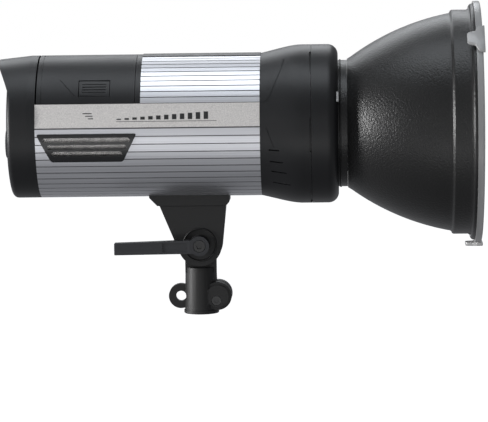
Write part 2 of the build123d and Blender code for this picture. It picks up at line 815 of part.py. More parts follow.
with BuildPart() as battery_cover:
    with BuildSketch(across(battery_x0)):
        add(sector(body_r, inner_r, cover_low, 180 - cover_low))
    extrude(amount=battery_length)
    for end_x in (battery_x0, battery_x1 - wall):
        with BuildSketch(across(end_x)):
            Circle(inner_r + 0.2)
            with Locations((0, flange_top + seat_gap - body_r)):
                Rectangle(3 * body_r, 2 * body_r, mode=Mode.SUBTRACT)
            Rectangle(2 * body_r, 2 * inner_r * sin(radians(cover_low)), mode=Mode.SUBTRACT)
        extrude(amount=wall)
    for angle in both_sides(latch_angle):
        add(latch_block(latch_length, latch_height, inner_r - 4, body_r + 2, angle), mode=Mode.SUBTRACT)
    with BuildPart(mode=Mode.PRIVATE) as end_groove:
        with BuildSketch(across(battery_x0 + 3.2)):
            Circle(body_r + 1)
            Circle(body_r - 0.4, mode=Mode.SUBTRACT)
        extrude(amount=0.6)
    add(end_groove.part, mode=Mode.SUBTRACT)
    with BuildPart(mode=Mode.PRIVATE) as crease:
        with BuildSketch(side(0, axis_z)):
            with BuildLine():
                Line((latch_x - 26.0, 38.0), (latch_x - 14.5, 26.2))
            trace(line_width=0.5)
        extrude(amount=2 * body_r, both=True)
        with BuildSketch(across(battery_x0)):
            Circle(body_r + 1)
            Circle(body_r - 0.35, mode=Mode.SUBTRACT)
        extrude(amount=battery_length, mode=Mode.INTERSECT)
    add(crease.part, mode=Mode.SUBTRACT)

with BuildPart() as battery_case:
    flange_half = sqrt((inner_r - 0.4) ** 2 - flange_top**2)
    case_mid = (battery_x0 + battery_x1) / 2
    with Locations((case_mid, 0, axis_z + flange_top - flange_thick / 2)):
        Box(battery_length - 2 * move_gap, 2 * flange_half, flange_thick)
    with Locations((case_mid, 0, axis_z + (flange_top + case_floor) / 2)):
        Box(case_x1 - case_x0, 2 * case_half_width, case_depth)
    with Locations((case_mid, 0, axis_z + (flange_top + case_floor) / 2 + case_wall)):
        Box(
            case_x1 - case_x0 - 2 * case_wall,
            2 * (case_half_width - case_wall),
            case_depth,
            mode=Mode.SUBTRACT,
        )
    with Locations((case_x1 - 8, 0, axis_z + case_floor)):
        Box(8.4, 26.4, 1.2, mode=Mode.SUBTRACT)

contact_x = case_x1 - 8
contact_pitch = 6.4
contact_r = 1.2
with BuildPart() as battery_terminals:
    with Locations((contact_x, 0, axis_z + case_floor)):
        with GridLocations(0, contact_pitch, 1, 4):
            Box(7, 4, 0.55, align=(Align.CENTER, Align.CENTER, Align.MIN))

cell_pitch = 2 * cell_r + 0.2
cell_low = case_floor + case_wall + 0.1 + cell_r
cell_high = cell_low + cell_pitch * sin(radians(60))
with BuildPart() as battery_cells:
    with BuildSketch(across((case_x0 + case_x1 - cell_length) / 2)):
        with Locations(*[((i - 1.5) * cell_pitch, cell_low) for i in range(4)]):
            Circle(cell_r)
        with Locations(*[((i - 1) * cell_pitch, cell_high) for i in range(3)]):
            Circle(cell_r)
    extrude(amount=cell_length)

with BuildPart() as battery_board:
    with Locations((case_mid, 0, axis_z + cell_high + cell_r + 2.4)):
        Box(cell_length - 6, 36, 1.6)
    with Locations((case_mid, 0, axis_z + cell_high + cell_r + 4.4)):
        with GridLocations(14, 10, 3, 2):
            Box(7, 5, 2.6)


def make_latch(angle):
    """Press plate in the cover's window, with a flange inside the cover."""
    with BuildPart() as latch:
        add(
            latch_block(
                latch_length - 2 * move_gap,
                latch_height - 2 * move_gap,
                inner_r - 2.6,
                body_r + 1,
                angle,
            )
        )
        with BuildSketch(across(battery_x0)):
            Circle(body_r - 0.5)
        extrude(amount=battery_length, mode=Mode.INTERSECT)
        flange_low = inner_r - 2.6
        add(
            latch_block(
                latch_length + 2 * latch_flange,
                latch_height + 2 * latch_flange,
                flange_low,
                flange_low + 1.2,
                angle,
            )
        )
        for ridge in range(4):
            drop = (ridge - 1.5) * 2.4
            with Locations(around(latch_x, body_r - 0.5, angle)):
                with Locations((0, 0, drop)):
                    Box(latch_length - 6, 1.0, 0.7, mode=Mode.SUBTRACT)
    return latch


latches = {"left": make_latch(latch_angle), "right": make_latch(180 - latch_angle)}

bay_gap = 0.6
bay_wall = 1.6
with BuildPart() as battery_bay:
    bay_half = case_half_width + bay_gap + bay_wall
    bay_top = flange_top - flange_thick - bay_gap
    bay_low = case_floor - bay_gap - bay_wall
    bay_length = case_x1 - case_x0 + 2 * (bay_gap + bay_wall)
    with Locations((case_mid, 0, axis_z + (bay_top + bay_low) / 2)):
        Box(bay_length, 2 * bay_half, bay_top - bay_low)
    with Locations((case_mid, 0, axis_z + bay_top - bay_wall / 2)):
        Box(battery_length - 1, 2 * flange_half, bay_wall)
    with Locations((case_mid, 0, axis_z + (bay_top + bay_low) / 2 + bay_wall)):
        Box(bay_length - 2 * bay_wall, 2 * (bay_half - bay_wall), bay_top - bay_low, mode=Mode.SUBTRACT)
    with Locations((contact_x, 0, axis_z + bay_low)):
        with GridLocations(0, contact_pitch, 1, 4):
            Cylinder(contact_r + 0.1, 3 * bay_wall, mode=Mode.SUBTRACT)

with BuildPart() as bay_contacts:
    with Locations((contact_x, 0, axis_z + bay_low - seat_gap)):
        Box(8, 4 * contact_pitch, 3, align=(Align.CENTER, Align.CENTER, Align.MAX))
        with GridLocations(0, contact_pitch, 1, 4):
            Cylinder(
                contact_r,
                case_floor - 0.1 - bay_low,
                align=(Align.CENTER, Align.CENTER, Align.MIN),
            )

# ---------------------------------------------------------------- electronics in the shells
with BuildPart() as main_board:
    with Locations((fan_x, -24.0, axis_z - 24.0)):
        Box(66, 1.6, 38)
    with Locations((fan_x, -22.2, axis_z - 24.0)):
        with Locations((-22, 0, 8), (0, 0, 8), (20, 0, -8), (-10, 0, -10)):
            Box(12, 2.2, 10)

board_z = -40.0
caps_x0 = upper_x0 + 8
caps_x1 = shell_front_x - 8
cap_can_r = 17.0
cap_offset = 18.2
with BuildPart() as power_board:
    with Locations(((caps_x0 + caps_x1) / 2, 0, axis_z + board_z)):
        Box(caps_x1 - caps_x0, 56, 1.6)
    with Locations(((caps_x0 + caps_x1) / 2, 0, axis_z + board_z + 0.8)):
        with Locations((-26, 0, 0), (26, 0, 0)):
            Box(14, 5, 9, align=(Align.CENTER, Align.CENTER, Align.MIN))

with BuildPart() as capacitors:
    with BuildSketch(across(caps_x0)):
        with GridLocations(2 * cap_offset, 2 * cap_offset, 2, 2):
            Circle(cap_can_r)
    extrude(amount=caps_x1 - caps_x0)

with BuildPart() as capacitor_clamp:
    with BuildSketch(across((caps_x0 + caps_x1) / 2 - 2)):
        Circle(inner_r - 0.4)
        with Locations((0, board_z + 1.6 - body_r)):
            Rectangle(3 * body_r, 2 * body_r, mode=Mode.SUBTRACT)
        with GridLocations(2 * cap_offset, 2 * cap_offset, 2, 2):
            Circle(cap_can_r + 0.1, mode=Mode.SUBTRACT)
    extrude(amount=4)

# ---------------------------------------------------------------- front housing and bezel
housing_wall = 2.6


def flare_section(inset):
    """Half section of the flared front, from the lamp axis out, shrunk by inset."""
    with BuildSketch() as half:
        with BuildLine():
            curve = Spline(
                (housing_x0, body_r - inset),
                (housing_x0 + 0.6 * flare_length, body_r + 0.74 * (front_r - body_r) - inset),
                (housing_x0 + flare_length, front_r - inset),
                tangents=[(1.0, 0.22), (1.0, 0.0)],
            )
            Polyline(curve @ 1, (housing_x1, front_r - inset), (housing_x1, 0), (housing_x0, 0), curve @ 0)
        make_face()
    return half.sketch


slot_angles = (-16.0, -25.7, -34.7, -46.5)
bulkhead_x = bezel_x0 - 7.0
with BuildPart() as front_housing:
    with BuildSketch(side(0, axis_z)):
        add(flare_section(0))
    revolve(axis=lamp_axis)
    with BuildPart(mode=Mode.PRIVATE) as crease_line:
        with BuildSketch(side(0, axis_z)):
            with BuildLine():
                rise = Line((housing_x0, 20.2), (housing_x0 + 2.5, 20.6))
                Spline(rise @ 1, (housing_x0 + 9, 28), (housing_x0 + 18.5, 52), tangents=[rise % 1, (0.25, 1)])
            trace(line_width=0.5)
            with BuildLine():
                Line((housing_x0 + 4.6, 2.5), (housing_x0 + 10.5, -14.0))
            trace(line_width=0.5)
        extrude(amount=2 * body_r, both=True)
        with BuildSketch(side(0, axis_z)):
            add(flare_section(0.35))
        revolve(axis=lamp_axis, mode=Mode.SUBTRACT)
    add(crease_line.part, mode=Mode.SUBTRACT)
    with BuildSketch(side(0, axis_z)):
        add(flare_section(housing_wall))
    revolve(axis=lamp_axis, mode=Mode.SUBTRACT)
    for row, low in enumerate(slot_angles):
        for angle in both_sides(low):
            with Locations(around(housing_x0 + 10.4 + 1.8 * row, body_r + 2, angle)):
                Box(8.0 + 1.8 * row, 9, 1.0, mode=Mode.SUBTRACT)
    for turn in range(6):
        with BuildSketch(across(housing_x1 - 1.1)):
            add(sector(front_r + 1, front_r - 1.3, 60 * turn - 8, 60 * turn + 16))
        extrude(amount=3, mode=Mode.SUBTRACT)

with BuildPart() as bulkhead:
    with BuildSketch(across(bulkhead_x)):
        Circle(front_r - housing_wall - seat_gap)
        with PolarLocations(46.0, 12):
            Circle(3.0, mode=Mode.SUBTRACT)
    extrude(amount=3)

ring_front_x = bezel_x1 - bezel_front - seat_gap
ring_flange = 1.5
ring_x0 = ring_front_x - ring_flange - lug_thick - 1.0
release_angle = 155.0
release_r = 54.9
pad_width = 4.0
pad_height = 8.0
with BuildPart() as bezel_ring:
    with BuildSketch(side(0, axis_z)):
        with BuildLine():
            Line((bezel_x0, front_r), (bezel_x1 - bezel_round, front_r))
            RadiusArc((bezel_x1 - bezel_round, front_r), (bezel_x1, front_r - bezel_round), bezel_round)
            Polyline(
                (bezel_x1, front_r - bezel_round),
                (bezel_x1, mouth_r),
                (bezel_x1 - bezel_front, mouth_r),
                (bezel_x1 - bezel_front, front_r - bezel_round + 2.0),
                (bezel_x1 - bezel_round, front_r - wall),
                (bezel_x0, front_r - wall),
                (bezel_x0, front_r),
            )
        make_face()
    revolve(axis=lamp_axis)
    with Locations(around(bezel_x1, release_r, release_angle)):
        Box(2 * bezel_front + 6, pad_width + 2 * move_gap, pad_height + 2 * move_gap, mode=Mode.SUBTRACT)

with BuildPart() as bayonet_ring:
    with BuildSketch(across(ring_x0)):
        Circle(front_r - bezel_round + 1.6)
        Circle(mouth_r + lug_reach - 0.2, mode=Mode.SUBTRACT)
    extrude(amount=ring_front_x - ring_x0)
    with BuildSketch(across(ring_front_x - ring_flange)):
        Circle(mouth_r + lug_reach + 0.4)
        Circle(mouth_r - 0.2, mode=Mode.SUBTRACT)
        for lug in range(3):
            centre = 90 + 120 * lug + twist
            spread = lug_angle / 2 + 2
            add(sector(mouth_r + lug_reach - 0.2, mouth_r - 2, centre - spread, centre + spread), mode=Mode.SUBTRACT)
    extrude(amount=ring_flange)
    with BuildSketch(across(ring_x0)):
        with Locations(Location((0, 0, 0), (0, 0, release_angle))):
            with Locations((release_r, 0)):
                Circle(1.5 + move_gap)
    extrude(amount=12, mode=Mode.SUBTRACT)

pad_x0 = bezel_x1 - 1.3
with BuildPart() as release_button:
    with Locations(around(pad_x0 + 1.0, release_r, release_angle)):
        Box(2.0, pad_width, pad_height)
    fillet(release_button.faces().sort_by(Axis.X)[-1].edges(), 0.6)
    with BuildSketch(across(ring_x0 - 2)):
        with Locations(Location((0, 0, 0), (0, 0, release_angle))):
            with Locations((release_r, 0)):
                Circle(1.5)
    extrude(amount=pad_x0 - ring_x0 + 2.2)

# ---------------------------------------------------------------- lamp: base, tube, modelling lamp, dome
base_x = bulkhead_x + 3 + seat_gap
base_height = 14.0
with BuildPart() as tube_base:
    with BuildSketch(across(base_x)):
        Circle(32)
    extrude(amount=base_height)
    fillet(tube_base.faces().sort_by(Axis.X)[-1].edges(), 1.5)
    with BuildSketch(across(base_x + base_height - 4)):
        with PolarLocations(tube_ring_r, 2, -12, 24, endpoint=True):
            Circle(tube_r + 0.3)
    extrude(amount=6, mode=Mode.SUBTRACT)

ring_centre_x = base_x + base_height + 16
with BuildPart() as flash_tube:
    with BuildSketch(Plane(origin=(ring_centre_x, 0, axis_z), x_dir=(1, 0, 0), z_dir=(0, 0, 1))):
        with Locations((0, tube_ring_r)):
            Circle(tube_r)
    revolve(axis=lamp_axis, revolution_arc=336, mode=Mode.ADD)
    flash_tube_ring = flash_tube.part.rotate(lamp_axis, 12)
with BuildPart() as flash_tube:
    add(flash_tube_ring)
    with BuildSketch(across(base_x + base_height - 3.8)):
        with PolarLocations(tube_ring_r, 2, -12, 24, endpoint=True):
            Circle(tube_r - 0.1)
    extrude(amount=ring_centre_x - base_x - base_height + 3.8)
    for end_angle in (-12.0, 12.0):
        with Locations(around(ring_centre_x, tube_ring_r, end_angle)):
            Sphere(tube_r)

with BuildPart() as modelling_lamp:
    with BuildSketch(across(base_x + base_height + seat_gap)):
        Circle(11)
    extrude(amount=9)
    with BuildSketch(across(base_x + base_height + 9)):
        Circle(8)
    extrude(amount=4, taper=18)

dome_end_x = base_x + dome_straight + dome_r
with BuildPart() as glass_dome:
    with BuildSketch(side(0, axis_z)):
        with BuildLine():
            Line((base_x, dome_r + 2.5), (base_x + 2.5, dome_r + 2.5))
            Line((base_x + 2.5, dome_r + 2.5), (base_x + 2.5, dome_r))
            Line((base_x + 2.5, dome_r), (base_x + dome_straight, dome_r))
            RadiusArc((base_x + dome_straight, dome_r), (dome_end_x, 0), dome_r)
            Line((dome_end_x, 0), (dome_end_x - dome_wall, 0))
            inner_dome = dome_r - dome_wall
            RadiusArc((dome_end_x - dome_wall, 0), (base_x + dome_straight, inner_dome), -inner_dome)
            Line((base_x + dome_straight, inner_dome), (base_x, inner_dome))
            Line((base_x, inner_dome), (base_x, dome_r + 2.5))
        make_face()
    revolve(axis=lamp_axis)

# ---------------------------------------------------------------- reflector and diffuser plate
neck_x0 = ring_front_x - ring_flange - lug_thick - 0.4
with BuildPart() as reflector_neck:
    with BuildSketch(across(neck_x0)):
        Circle(neck_r)
        Circle(neck_r - neck_wall, mode=Mode.SUBTRACT)
    extrude(amount=neck_x1 - neck_x0 - seat_gap)
    with BuildSketch(across(neck_x0)):
        for lug in range(3):
            centre = 90 + 120 * lug
            add(sector(neck_r + lug_reach, neck_r - 1, centre - lug_angle / 2, centre + lug_angle / 2))
    extrude(amount=lug_thick)
    with BuildPart(mode=Mode.PRIVATE) as bead:
        with BuildSketch(side(0, axis_z)):
            with Locations((bezel_x1 + 1.6, neck_r)):
                Circle(0.7)
        revolve(axis=lamp_axis)
    add(bead.part)

with BuildPart() as reflector_bowl:
    with BuildSketch(side(0, axis_z)):
        with BuildLine():
            start = Line((neck_x1, neck_r - neck_wall), (neck_x1, neck_r + 0.8))
            foot = Line(start @ 1, (neck_x1 + 3.1, neck_r + 2.7))
            bowl = ThreePointArc(
                foot @ 1,
                (neck_x1 + 0.497 * bowl_length, bowl_r - 12.0),
                (bowl_x1, bowl_r),
            )
            step = Line(bowl @ 1, (bowl_x1 + 2.0, band_r))
            band = Line(step @ 1, (band_x1, band_r))
            inner_bowl = ThreePointArc(
                (bowl_x1, bowl_r - bowl_wall),
                (neck_x1 + 0.497 * bowl_length + 0.5, bowl_r - 12.0 - bowl_wall),
                (neck_x1 + 3.6, neck_r + 2.7 - bowl_wall),
            )
            Polyline(
                band @ 1,
                (band_x1, rim_r - 1.0),
                (band_x1 + 1.0, rim_r),
                (rim_x1 - 1.0, rim_r),
                (rim_x1, rim_r - 1.0),
                (rim_x1, band_r - bowl_wall),
                (bowl_x1 + 2.4, band_r - bowl_wall),
                inner_bowl @ 0,
            )
            Polyline(inner_bowl @ 1, (neck_x1 + bowl_wall, neck_r - neck_wall), start @ 0)
        make_face()
    revolve(axis=lamp_axis)

plate_x0 = rim_x1 + seat_gap
claw_hook = 2.2
claw_x0 = band_x1 - 0.4 - claw_hook
with BuildPart() as diffuser_cap:
    with BuildSketch(across(plate_x0)):
        Circle(plate_r)
    extrude(amount=plate_thick)
    fillet(diffuser_cap.faces().sort_by(Axis.X)[-1].edges(), 1.2)
    with BuildSketch(across(rim_x1 - 2.0)):
        Circle(plate_r)
        Circle(rim_r + 0.3, mode=Mode.SUBTRACT)
    extrude(amount=2.2)
    for angle in claw_angles:
        outer = plate_r + claw_reach
        claw_x1 = plate_x0 + plate_thick + 1.6
        with Locations(around((claw_x0 + claw_x1) / 2, (rim_r + 0.3 + outer) / 2, angle)):
            Box(claw_x1 - claw_x0, outer - rim_r - 0.3, claw_width)
        with Locations(around(claw_x0 + claw_hook / 2, (band_r + 1.2 + outer) / 2, angle)):
            Box(claw_hook, outer - band_r - 1.2, claw_width)
        with Locations(around(plate_x0 + plate_thick + 0.6, plate_r - 4.0, angle)):
            Box(2.0, 12.0, claw_width - 7)

# ---------------------------------------------------------------- names and files
pieces = {
    "stand_socket": stand_socket,
    "clamp_bolt": clamp_bolt,
    "clamp_knob": clamp_knob,
    "bracket_yoke": bracket_yoke,
    "bracket_shoe": bracket_shoe,
    "bracket_screws": bracket_screws,
    "saddle_plate": saddle_plate,
    "tilt_bolt": tilt_bolt,
    "tilt_lever": tilt_lever,
    "tilt_nut": tilt_nut,
    "friction_discs": friction_discs,
    "lower_shell": lower_shell,
    "upper_shell": upper_shell,
    "top_rail": top_rail,
    "collar_band": collar_band,
    "vent_grille_left": vent_grilles["left"],
    "vent_grille_right": vent_grilles["right"],
    "vent_mesh_left": vent_meshes["left"],
    "vent_mesh_right": vent_meshes["right"],
    "fan_frame": fan_frame,
    "fan_rotor": fan_rotor,
    "rear_cap": rear_cap,
    "control_panel": control_panel,
    "panel_screws": panel_screws,
    "panel_board": panel_board,
    "lcd_module": lcd_module,
    "lcd_window": lcd_window,
    "control_dial": control_dial,
    **buttons,
    "sync_socket": sync_socket,
    "usb_socket": usb_socket,
    "slave_sensor": slave_sensor,
    "battery_bay": battery_bay,
    "bay_contacts": bay_contacts,
    "battery_case": battery_case,
    "battery_cover": battery_cover,
    "battery_cells": battery_cells,
    "battery_board": battery_board,
    "battery_terminals": battery_terminals,
    "latch_left": latches["left"],
    "latch_right": latches["right"],
    "main_board": main_board,
    "power_board": power_board,
    "capacitors": capacitors,
    "capacitor_clamp": capacitor_clamp,
    "front_housing": front_housing,
    "bulkhead": bulkhead,
    "bezel_ring": bezel_ring,
    "bayonet_ring": bayonet_ring,
    "release_button": release_button,
    "tube_base": tube_base,
    "flash_tube": flash_tube,
    "modelling_lamp": modelling_lamp,
    "glass_dome": glass_dome,
    "reflector_neck": reflector_neck,
    "reflector_bowl": reflector_bowl,
    "diffuser_cap": diffuser_cap,
}

os.makedirs("parts", exist_ok=True)
for name, piece in pieces.items():
    piece.part.label = name
    export_step(piece.part, f"parts/{name}.step")
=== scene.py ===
"""Monolight strobe: finishes, detailed pieces, studio and camera around the CAD frame."""

import json
from math import cos, pi, radians, sin, sqrt

import bmesh
import bpy
from mathutils import Matrix, Quaternion, Vector


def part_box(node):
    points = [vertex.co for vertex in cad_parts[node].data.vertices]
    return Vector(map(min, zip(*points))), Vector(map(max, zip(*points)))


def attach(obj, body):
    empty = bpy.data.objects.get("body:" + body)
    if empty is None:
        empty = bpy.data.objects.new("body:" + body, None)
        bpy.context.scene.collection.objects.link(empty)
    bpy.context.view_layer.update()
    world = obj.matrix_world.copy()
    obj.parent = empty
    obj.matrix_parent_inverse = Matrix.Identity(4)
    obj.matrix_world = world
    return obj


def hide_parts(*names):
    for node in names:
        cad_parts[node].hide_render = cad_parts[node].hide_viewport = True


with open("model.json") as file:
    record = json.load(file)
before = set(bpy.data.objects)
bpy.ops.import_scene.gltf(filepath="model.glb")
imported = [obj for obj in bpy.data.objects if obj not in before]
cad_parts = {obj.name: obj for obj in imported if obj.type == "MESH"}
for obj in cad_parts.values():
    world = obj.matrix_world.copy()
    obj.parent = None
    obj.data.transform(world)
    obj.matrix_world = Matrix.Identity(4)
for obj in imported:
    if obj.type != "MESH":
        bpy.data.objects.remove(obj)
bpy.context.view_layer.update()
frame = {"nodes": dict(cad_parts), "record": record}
nodes = frame["nodes"]

MM = 0.001
shell_low, shell_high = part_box("lower_shell")
bowl_low, bowl_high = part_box("reflector_bowl")
AXIS_Z = (bowl_low.z + bowl_high.z) / 2
BODY_R = AXIS_Z - shell_low.z
RIM_R = (bowl_high.z - bowl_low.z) / 2
SEAM_HALF = 0.22 * MM
GROOVE_DEPTH = 0.36 * MM
STRIP_TURN = radians(12.15)
STRIP_HALF = radians(9.85)
STRIP_LOW = BODY_R * sin(radians(2.5))
STRIP_HIGH = BODY_R * sin(radians(22.0))
LENS_MM = 221.0
SENSOR_MM = 36.0
FLOOR_Z = -0.9


# ---------------------------------------------------------------- shader maths
class Flow:
    """A socket in a node tree. Python operators on it add the maths nodes."""

    def __init__(self, tree, socket):
        self.tree = tree
        self.socket = socket

    def apply(self, operation, *values, clamp=False):
        node = self.tree.nodes.new("ShaderNodeMath")
        node.operation = operation
        node.use_clamp = clamp
        for socket, value in zip(node.inputs, values):
            feed(self.tree, socket, value)
        return Flow(self.tree, node.outputs[0])

    def __add__(self, other):
        return self.apply("ADD", self, other)

    __radd__ = __add__

    def __sub__(self, other):
        return self.apply("SUBTRACT", self, other)

    def __rsub__(self, other):
        return self.apply("SUBTRACT", other, self)

    def __mul__(self, other):
        return self.apply("MULTIPLY", self, other)

    __rmul__ = __mul__

    def __truediv__(self, other):
        return self.apply("DIVIDE", self, other)

    def __abs__(self):
        return self.apply("ABSOLUTE", self)

    def __gt__(self, other):
        return self.apply("GREATER_THAN", self, other)

    def __lt__(self, other):
        return self.apply("LESS_THAN", self, other)

    def clamped(self):
        return self.apply("ADD", self, 0.0, clamp=True)

    def root(self):
        return self.apply("SQRT", self)


def feed(tree, socket, value):
    """Links a flow to a socket, or sets a plain value on it."""
    if isinstance(value, Flow):
        tree.links.new(value.socket, socket)
    else:
        socket.default_value = value


class Finish:
    """One material: a principled shader, object coordinates, and the nodes that vary it."""

    def __init__(self, name, colour, rough, **constants):
        self.material = bpy.data.materials.new(name)
        self.material.use_nodes = True
        self.tree = self.material.node_tree
        self.shader = self.tree.nodes["Principled BSDF"]
        self.set("Base Color", (*colour, 1.0))
        self.set("Roughness", rough)
        for socket, value in constants.items():
            self.set(socket.replace("_", " "), value)
        self.place = self.add("ShaderNodeTexCoord", out="Object")

    def set(self, socket, value):
        feed(self.tree, self.shader.inputs[socket], value)

    def add(self, kind, settings=(), out=0, **inputs):
        """Adds a node: its settings first, then its sockets. Returns the named output."""
        node = self.tree.nodes.new(kind)
        for name, value in dict(settings).items():
            setattr(node, name, value)
        for name, value in inputs.items():
            feed(self.tree, node.inputs[name.replace("_", " ")], value)
        return Flow(self.tree, node.outputs[out])

    def stretched(self, scale):
        return self.add("ShaderNodeMapping", out="Vector", Vector=self.place, Scale=scale)

    def noise(self, scale, detail=2.0, rough=0.5, stretch=None):
        vector = self.stretched(stretch) if stretch else self.place
        return self.add(
            "ShaderNodeTexNoise", out="Fac", Vector=vector, Scale=scale, Detail=detail, Roughness=rough
        )

    def cells(self, scale):
        return self.add("ShaderNodeTexVoronoi", out="Distance", Vector=self.place, Scale=scale)

    def mix(self, factor, first, second):
        node = self.tree.nodes.new("ShaderNodeMix")
        node.data_type = "RGBA"
        feed(self.tree, node.inputs[0], factor)
        feed(self.tree, node.inputs[6], first)
        feed(self.tree, node.inputs[7], second)
        return Flow(self.tree, node.outputs[2])

    def parts(self):
        """x, y and z of the point in the object's frame."""
        node = self.tree.nodes.new("ShaderNodeSeparateXYZ")
        feed(self.tree, node.inputs[0], self.place)
        return tuple(Flow(self.tree, socket) for socket in node.outputs)

    def bump(self, height, distance, strength=1.0):
        self.set(
            "Normal",
            self.add("ShaderNodeBump", out="Normal", Height=height, Distance=distance, Strength=strength),
        )


def grey(value, tint=(1.0, 1.0, 1.0)):
    return tuple(value * part for part in tint)


def shade(colour):
    return (*colour, 1.0)


COOL = (0.92, 0.96, 1.08)
WARM = (1.03, 1.0, 0.97)
SILVERY = (0.975, 0.985, 1.03)


# ---------------------------------------------------------------- finishes
def satin_plastic(name, value, rough, grain=2600.0, depth=0.016 * MM, tint=COOL, coat=0.0):
    """Moulded plastic with a fine spark-eroded texture and slight handling wear."""
    skin = Finish(
        name, grey(value, tint), rough, Coat_Weight=coat, Coat_Roughness=0.25, Specular_IOR_Level=0.3
    )
    fine = skin.noise(grain, detail=3.0, rough=0.65)
    cloud = skin.noise(28.0, detail=4.0)
    skin.set("Roughness", rough - 0.07 + 0.14 * cloud)
    skin.set("Base Color", skin.mix(cloud, shade(grey(value * 0.82, tint)), shade(grey(value * 1.2, tint))))
    skin.bump(fine, depth)
    return skin.material


def ribbed_aluminium():
    """Satin anodised extrusion: drawn streaks, bead-blasted side strips, dark seams, and painted shade on the
    floors of the grooves.
    """
    skin = Finish("anodised_aluminium", grey(0.62, COOL), 0.36, Metallic=1.0)
    _, y, z = skin.parts()
    rise = z - AXIS_Z
    radius = (y * y + rise * rise).root()
    # Painted shade: the floors of the grooves, sunk below the groove depth, are coloured near-black to stand
    # for the shade that falls in them
    sunk = ((BODY_R - GROOVE_DEPTH - radius) / (0.04 * MM)).clamped()
    strip = (rise > STRIP_LOW) * (rise < STRIP_HIGH)
    groove_shade = sunk * (1 - strip)
    low_seam = abs(rise - STRIP_LOW) < SEAM_HALF
    high_seam = abs(rise - STRIP_HIGH) < SEAM_HALF
    seam = low_seam.apply("MAXIMUM", low_seam, high_seam)
    streak = skin.noise(1.0, detail=3.0, stretch=(6.0, 1400.0, 1400.0))
    grain = skin.noise(3400.0, detail=2.0, rough=0.7)
    cloud = skin.noise(22.0, detail=3.0)
    spark = skin.noise(1250.0, detail=1.0)
    plain = skin.mix(streak, shade(grey(0.46, SILVERY)), shade(grey(0.74, SILVERY)))
    blasted = skin.mix(spark, shade(grey(0.52, WARM)), shade(grey(0.92, WARM)))
    skinned = skin.mix(strip, plain, blasted)
    # Near-black mix of the painted shade in the grooves and the dark seams at the strip edges
    shade_and_seam = groove_shade.apply("MAXIMUM", groove_shade * 0.85, seam * 0.9)
    skin.set("Base Color", skin.mix(shade_and_seam, skinned, shade(grey(0.05))))
    skin.set("Roughness", 0.36 + 0.12 * streak + 0.05 * cloud + 0.08 * strip)
    skin.bump(streak * 0.4 + grain * (0.25 + 0.9 * strip), 0.012 * MM)
    return skin.material


def powder_coat(name, value, rough, grain, depth, tint=(1.0, 1.0, 1.0)):
    """Powder coat whose skin is wrinkled like orange peel."""
    skin = Finish(name, grey(value, tint), rough, Specular_IOR_Level=0.36)
    peel = skin.noise(grain, detail=1.0)
    fine = skin.noise(grain * 5.0, detail=2.0)
    cloud = skin.noise(16.0, detail=3.0)
    skin.set("Roughness", rough - 0.05 + 0.1 * cloud + 0.05 * fine)
    skin.set("Base Color", skin.mix(cloud, shade(grey(value * 0.85, tint)), shade(grey(value * 1.15, tint))))
    skin.bump(peel + 0.15 * fine, depth)
    return skin.material


def bare_metal(name, value, rough, streaks=(900.0, 900.0, 900.0), tint=(1.0, 1.0, 1.0)):
    """Machined or drawn metal with fine tool marks."""
    skin = Finish(name, grey(value, tint), rough, Metallic=1.0)
    marks = skin.noise(1.0, detail=3.0, stretch=streaks)
    skin.set("Roughness", rough - 0.06 + 0.16 * marks)
    skin.set("Base Color", skin.mix(marks, shade(grey(value * 0.86, tint)), shade(grey(value * 1.08, tint))))
    skin.bump(marks, 0.008 * MM)
    return skin.material


def hammered_silver():
    """Inside of the reflector: bright aluminium with a fine pebbled skin."""
    skin = Finish("pebbled_silver", grey(0.86), 0.24, Metallic=1.0)
    pebble = skin.cells(420.0)
    skin.set("Roughness", 0.2 + 0.12 * pebble)
    skin.bump(pebble, 0.12 * MM, strength=0.6)
    return skin.material


def frosted(name, value, alpha, rough, tint=(1.0, 1.0, 1.0)):
    """Frosted plastic or glass that lets part of what is behind it through."""
    skin = Finish(name, grey(value, tint), rough, IOR=1.49)
    mist = skin.noise(1800.0, detail=2.0)
    cloud = skin.noise(14.0, detail=3.0)
    skin.set("Alpha", alpha - 0.03 + 0.06 * cloud)
    skin.set("Roughness", rough - 0.04 + 0.08 * mist)
    skin.bump(mist, 0.01 * MM)
    return skin.material


def prismatic():
    """Diffuser plate: clear grey edge, and a pale face moulded in fine prisms."""
    skin = Finish("diffuser_plate", grey(0.3), 0.3, IOR=1.49)
    _, y, z = skin.parts()
    rise = z - AXIS_Z
    radius = (y * y + rise * rise).root()
    face = ((RIM_R - 5.0 * MM - radius) / (2.0 * MM)).clamped()
    prisms = skin.cells(260.0)
    mist = skin.noise(1500.0)
    pale = skin.mix(prisms, shade(grey(0.62)), shade(grey(0.92)))
    skin.set("Base Color", skin.mix(face, shade(grey(0.30)), pale))
    skin.set("Alpha", 0.90 - face * (0.12 + 0.12 * prisms))
    skin.set("Roughness", 0.26 + 0.1 * mist + 0.12 * face)
    skin.bump(prisms * face + 0.05 * mist, 0.35 * MM)
    return skin.material


def circuit_board():
    """Solder mask over copper tracks, with bare pads."""
    skin = Finish("circuit_board", (0.01, 0.09, 0.035), 0.38)
    tracks = skin.add(
        "ShaderNodeTexBrick",
        out="Fac",
        Vector=skin.place,
        Scale=260.0,
        Mortar_Size=0.06,
        Mortar_Smooth=0.2,
    )
    pads = skin.cells(330.0) < 0.16
    green = skin.mix(tracks, shade((0.008, 0.07, 0.03)), shade((0.02, 0.16, 0.06)))
    skin.set("Base Color", skin.mix(pads, green, shade((0.62, 0.6, 0.52))))
    skin.set("Metallic", pads * 0.9)
    skin.bump(tracks, 0.02 * MM)
    return skin.material


